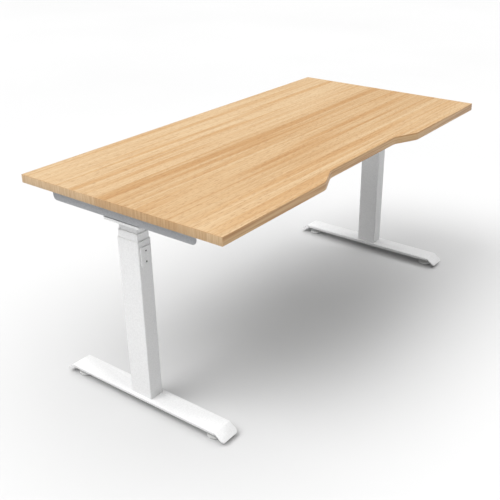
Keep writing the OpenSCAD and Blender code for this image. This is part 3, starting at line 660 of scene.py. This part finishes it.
gland_model = turned("gland_model", [
    (111.6, 6.4), (113, 6.4), (113.3, 5.2), (114.2, 5.2), (114.4, 4.2), (115, 4.2), (115.2, 5.0),
    (116.1, 5.0), (116.3, 4.0), (116.9, 4.0), (117.1, 4.6), (118, 4.6), (118.2, 3.7), (118.8, 3.7),
    (119, 4.1), (120, 3.6)], 24)
for side, inward in (("left", 1), ("right", -1)):
    low, high = box_mm(f"motor_{side}")
    spot = (((low.x if inward > 0 else high.x), 0, (low.z + high.z) / 2), (inward, 0, 0))
    motor = dress(copies(model, f"motor_{side}_can", [spot]), "zinc_steel", "top")
    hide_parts(f"motor_{side}")
    dress(copies(gland_model, f"motor_{side}_gland", [spot]), "cable_sheath", "top")
bpy.data.objects.remove(model)
bpy.data.objects.remove(gland_model)
print("motor length in mm:", round(high.x - low.x, 1))

# %% [markdown]
# ## Glides
# Four adjustable glides level the desk. Each is a nylon pad on a soft grey sole, a hexagon that an open
# spanner turns, and a threaded zinc stud that runs up into a nut welded inside the foot. The thread has a
# 1.25 mm pitch. It is turned as rings and not as a helix, which looks the same at this pitch and leaves no
# open ends.

# %% Levelling glides
THREAD_PITCH, RINGS = 1.25, 9
finish["sole"] = moulded("soft_tpe_grey", "#C6C7C8", "#D2D3D3", 0.6, 0.75, 1.2, IOR=1.5)
pad = turned("pad", [(2.0, 24.2), (2.4, 25.0), (6.4, 25.0), (7.6, 24.3), (8.5, 22.6), (9.0, 20), (10.4, 13.4),
                     (11.2, 12.2)], 48)
collar = ease(primitive("cylinder", "collar", (0, 0, 15.9), vertices=6, radius=0.011, depth=0.0098), 0.5)
body_model = join([pad, collar], "glide_model")
sole_model = turned("sole_model", [(0, 22.6), (0.5, 23.4), (1.6, 23.6), (2.2, 23.6)], 48)
thread = [(start + THREAD_PITCH * ring, radius)
          for ring in range(RINGS) for start, radius in ((20.5, 3.4), (21.1, 3.95))]
stud_model = turned("stud_model", thread + [(32.4, 3.4), (32.7, 3.1)], 24)
for spot in ("left_front", "left_rear", "right_front", "right_rear"):
    node = f"glide_{spot}"
    low, high = box_mm(node)
    place_at = [((*((low + high) / 2).xy, 0), (0, 0, 1))]
    glide = dress(copies(body_model, node + "_nylon", place_at), "white_nylon", f"pad_{spot}")
    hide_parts(node)
    sole = dress(copies(sole_model, node + "_sole", place_at), "white_nylon", f"pad_{spot}")
    sole.data.materials[0] = finish["sole"]
    dress(copies(stud_model, node + "_stud", place_at), "zinc_steel", f"pad_{spot}")
for model in (body_model, sole_model, stud_model):
    bpy.data.objects.remove(model)
print("glide radius in mm:", round((high.x - low.x) / 2, 1))

# %% [markdown]
# ## Accessory plates
# Each column has a small welded plate with two M6 threads, for a cable tray or a panel. A turned cup with
# ridges inside stands for the thread. It is coloured near black, darker than bare steel, which paints in the
# shade inside each tapped hole. Short weld beads, with the ripple that a welder leaves, join the plate's
# sides to the tube.

# %% Tapped holes and weld beads
# The thread cups' near-black colour is painted shade for the tapped holes; bare steel threads are lighter.
finish["thread"] = metal("black_oxide_steel", "#2A2B2D", "#3A3B3D", 0.45, 0.6, 1.0)
ridges = [spot for height in (3.3, 2.5, 1.7, 0.9) for spot in ((height, 2.15), (height - 0.4, 1.9))]
cup = turned("cup", [(0.05, 2.5), (3.8, 2.5), (3.81, 2.2)] + ridges, 24)
ripple = [(1.0 + 1.3 * step, (1.15, 1.0)[step % 2]) for step in range(9)]
bead = turned("bead", [(0, 0.3), (0.4, 0.8)] + ripple + [(12.2, 0.8), (12.6, 0.3)], 12)
for side in ("left", "right"):
    low, high = box_mm(f"accessory_plate_{side}")
    middle = (low + high) / 2
    holes = [((middle.x, high.y, middle.z + rise), (0, -1, 0)) for rise in (-16.5, 16.5)]
    threads = dress(copies(cup, f"accessory_threads_{side}", holes), "carrier_steel", f"base_{side}")
    # Near-black cups: painted shade inside the tapped holes.
    threads.data.materials[0] = finish["thread"]
    welds = [((x, high.y, middle.z + rise), (0, 0, 1)) for x in (low.x, high.x) for rise in (-23, 10)]
    dress(copies(bead, f"accessory_welds_{side}", welds), "white_powder_coat", f"base_{side}")
bpy.data.objects.remove(cup)
bpy.data.objects.remove(bead)
print("on each plate, tapped holes:", len(holes), "beads:", len(welds))

# %% [markdown]
# ## Guides, joiners and clips
# At each mouth of the telescoping column a nylon guide keeps the tubes from rattling. The cable clips are
# nylon too. The rail joiners are zinc plated box section. Their CAD shapes are right, so they only need the
# soft edges of moulded and sawn parts.

# %% Ease the small parts
for node, radius in {"outer_guide_left": 0.4, "outer_guide_right": 0.4, "middle_guide_left": 0.4,
                     "middle_guide_right": 0.4, "cable_clips": 0.7, "rail_joiners": 0.6, "control_lid": 0.5,
                     "gearbox_left": 1.0, "gearbox_right": 1.0}.items():
    eased_part(node, "_eased", radius)

# %% [markdown]
# ## Control box
# The box under the top holds the power supply. Its case is moulded ABS with a row of cooling slots in the
# floor, three round sockets with plugs, and an inlet for the mains lead. The slots are one slim bar repeated
# by the Array modifier and then cut. The inlet gets three flat pins whose tips are drawn in.

# %% Case with slots, and inlet pins
SLOTS, SLOT_PITCH = 13, 11
INLET_Y, SOCKET_Z = -160, 638
case = ease(merged_copy("control_box", "control_box_case"), 0.8)
low, high = box_mm("control_box")
bar = block("bar", ((1 - SLOTS) / 2 * SLOT_PITCH, (low.y + high.y) / 2, low.z), (3.2, 46, 2.4))
only(bar)
row = bar.modifiers.new("row", "ARRAY")
row.count, row.use_relative_offset, row.use_constant_offset = SLOTS, False, True
row.constant_offset_displace = (SLOT_PITCH / 1000, 0, 0)
bpy.ops.object.modifier_apply(modifier=row.name)
combine(case, bar)
dress(case, "black_abs", "top")
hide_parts("control_box")

pins = []
for across, rise in ((-6, -2), (0, 3), (6, -2)):
    middle = Vector((low.x + 14.5, INLET_Y + across, SOCKET_Z + rise))
    pin = block("pin", middle, (12, 2, 5))
    pick_faces(pin, lambda centre, normal: normal.x < -0.9)
    bpy.ops.mesh.extrude_region_move(TRANSFORM_OT_translate={"value": (-0.0015, 0, 0)})
    bpy.ops.transform.resize(value=(1, 0.5, 0.7), center_override=middle / 1000)
    bpy.ops.object.mode_set(mode="OBJECT")
    pins.append(pin)
dress(join(pins, "mains_inlet_pins"), "bright_steel", "top")
print("case faces:", len(case.data.polygons), "pins:", len(pins))

# %% [markdown]
# ## Leads
# Two motor leads and the handset's lead run along the underside of the top. They are held at both ends and
# by clips, so they have fixed routes. Each route is given as a few points, from socket to socket. A
# smooth line is led through the points and swept with the round section of a 5 mm PVC lead.

# %% Smooth leads
LEAD_RADIUS, LEAD_Z = 2.5, 651.8
MOTOR_Y, HANDSET_Y = -120, -95
motor_route = [(531, 0, 630), (506, 0, 631), (471, -14, 645.8), (436, -30, LEAD_Z), (406, -80, LEAD_Z),
               *((x, MOTOR_Y, LEAD_Z) for x in (376, 315, 225, 200)),
               (165, MOTOR_Y, 646), (142, MOTOR_Y, SOCKET_Z), (130, MOTOR_Y, SOCKET_Z)]
handset_route = [(505, 314, LEAD_Z), (505, 272, LEAD_Z), (445, 210, LEAD_Z), (330, 150, LEAD_Z),
                 (300, 90, LEAD_Z), (290, 0, LEAD_Z), (270, -70, LEAD_Z), (220, HANDSET_Y, LEAD_Z),
                 (165, HANDSET_Y, 646), (142, HANDSET_Y, SOCKET_Z), (130, HANDSET_Y, SOCKET_Z)]


def through(points, steps=8):
    """A smooth line through the points, as a Catmull-Rom spline."""
    points = [Vector(point) for point in points]
    line = []
    for index in range(len(points) - 1):
        a, b, c, d = (points[min(max(index + shift, 0), len(points) - 1)] for shift in (-1, 0, 1, 2))
        for step in range(steps):
            t = step / steps
            line.append(0.5 * (2 * b + (c - a) * t + (2 * a - 5 * b + 4 * c - d) * t ** 2
                               + (3 * b - a - 3 * c + d) * t ** 3))
    return line + [points[-1]]


def lead(name, route, node):
    """A round lead swept along a route, which stands for the CAD's coarse one."""
    line = through(route)
    curve = bpy.data.curves.new(name, "CURVE")
    curve.dimensions, curve.bevel_depth, curve.bevel_resolution = "3D", LEAD_RADIUS / 1000, 3
    curve.use_fill_caps = True
    spline = curve.splines.new("POLY")
    spline.points.add(len(line) - 1)
    for point, place in zip(spline.points, line):
        point.co = (*(place / 1000), 1)
    piece = bpy.data.objects.new(name, curve)
    bpy.context.collection.objects.link(piece)
    only(piece)
    bpy.ops.object.convert(target="MESH")
    dress(bpy.context.object, "cable_sheath", "top", 60)
    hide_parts(node)
    print(name, round(sum((b - a).length for a, b in zip(line, line[1:]))), "mm long")


lead("motor_lead_right", motor_route, "motor_cable_right")
lead("motor_lead_left", [(-x, y, z) for x, y, z in motor_route], "motor_cable_left")
lead("handset_lead", handset_route, "handset_cable")

# %% [markdown]
# ## Plugs
# Each lead ends at the control box in a round plug with a grip and a ribbed boot that keeps the lead from
# kinking. The boot's ribs grow smaller towards the lead, as they do on a moulded one.

# %% Round plugs with ribbed boots
boot = [(height, radius) for step in range(4) for height, radius in (
    (7.0 + 2 * step, 4.6 - 0.35 * step), (8.1 + 2 * step, 4.5 - 0.35 * step),
    (8.2 + 2 * step, 3.5 - 0.2 * step), (8.9 + 2 * step, 3.5 - 0.2 * step))]
model = turned("plug_model", [(-0.2, 5.4), (0.2, 5.8), (4.8, 5.8), (5.4, 5.2)] + boot + [(15.4, 2.7)], 24)
spots = [((high.x, MOTOR_Y, SOCKET_Z), (1, 0, 0)), ((high.x, HANDSET_Y, SOCKET_Z), (1, 0, 0)),
         ((low.x, MOTOR_Y, SOCKET_Z), (-1, 0, 0))]
dress(copies(model, "lead_plugs", spots), "black_abs", "top")
bpy.data.objects.remove(model)
print("plugs:", len(spots))

# %% [markdown]
# ## Handset
# The handset under the front edge has two keys that raise and lower the desk and two for stored heights. The
# case and the keys get softer edges than the steel parts, since fingers meet them. The signs are pad printed:
# an arrow up, an arrow down, and the digits 1 and 2, a tenth of a millimetre proud of the keys.

# %% Case, keys and their signs
eased_part("handset_case", "_eased", 1.2, 3, 60)
finish["print"] = moulded("pad_print_white", "#ECECEA", "#F4F4F2", 0.5, 0.6, 0.6, IOR=1.5)


def arrow(name, points_up):
    """A flat triangle on the Z axis, drawn from a three-sided cylinder."""
    sign = primitive("cylinder", name, vertices=3, radius=0.0026, depth=0.0002)
    ease(sign, 0.08, 1)
    sign.data.transform(Matrix.Rotation(0 if points_up else math.pi, 4, "Z"))
    return sign


def digit(name, letter):
    """A digit made a mesh, with a little thickness."""
    bpy.ops.object.select_all(action="DESELECT")
    bpy.ops.object.text_add()
    sign = bpy.context.object
    sign.data.body, sign.data.size, sign.data.extrude = letter, 0.0062, 0.0001
    sign.data.align_x, sign.data.align_y = "CENTER", "CENTER"
    bpy.ops.object.convert(target="MESH")
    sign = bpy.context.object
    sign.name = name
    pick_faces(sign, lambda centre, normal: True)
    bpy.ops.mesh.remove_doubles(threshold=1e-7)
    bpy.ops.object.mode_set(mode="OBJECT")
    return sign


signs = {"up": arrow("sign_up", True), "down": arrow("sign_down", False), "one": digit("sign_one", "1"),
         "two": digit("sign_two", "2")}
for key, sign in signs.items():
    node = f"button_{key}"
    low, high = box_mm(node)
    eased_part(node, "_eased", 0.5, 3)
    face = Matrix.Translation(Vector(((low.x + high.x) / 2, high.y, (low.z + high.z) / 2)) / 1000)
    sign.data.transform(face @ Matrix.Rotation(math.pi, 4, "Z") @ Matrix.Rotation(math.pi / 2, 4, "X"))
    dress(sign, "white_nylon", f"key_{key}")
    sign.data.materials[0] = finish["print"]
print("keys:", list(signs))
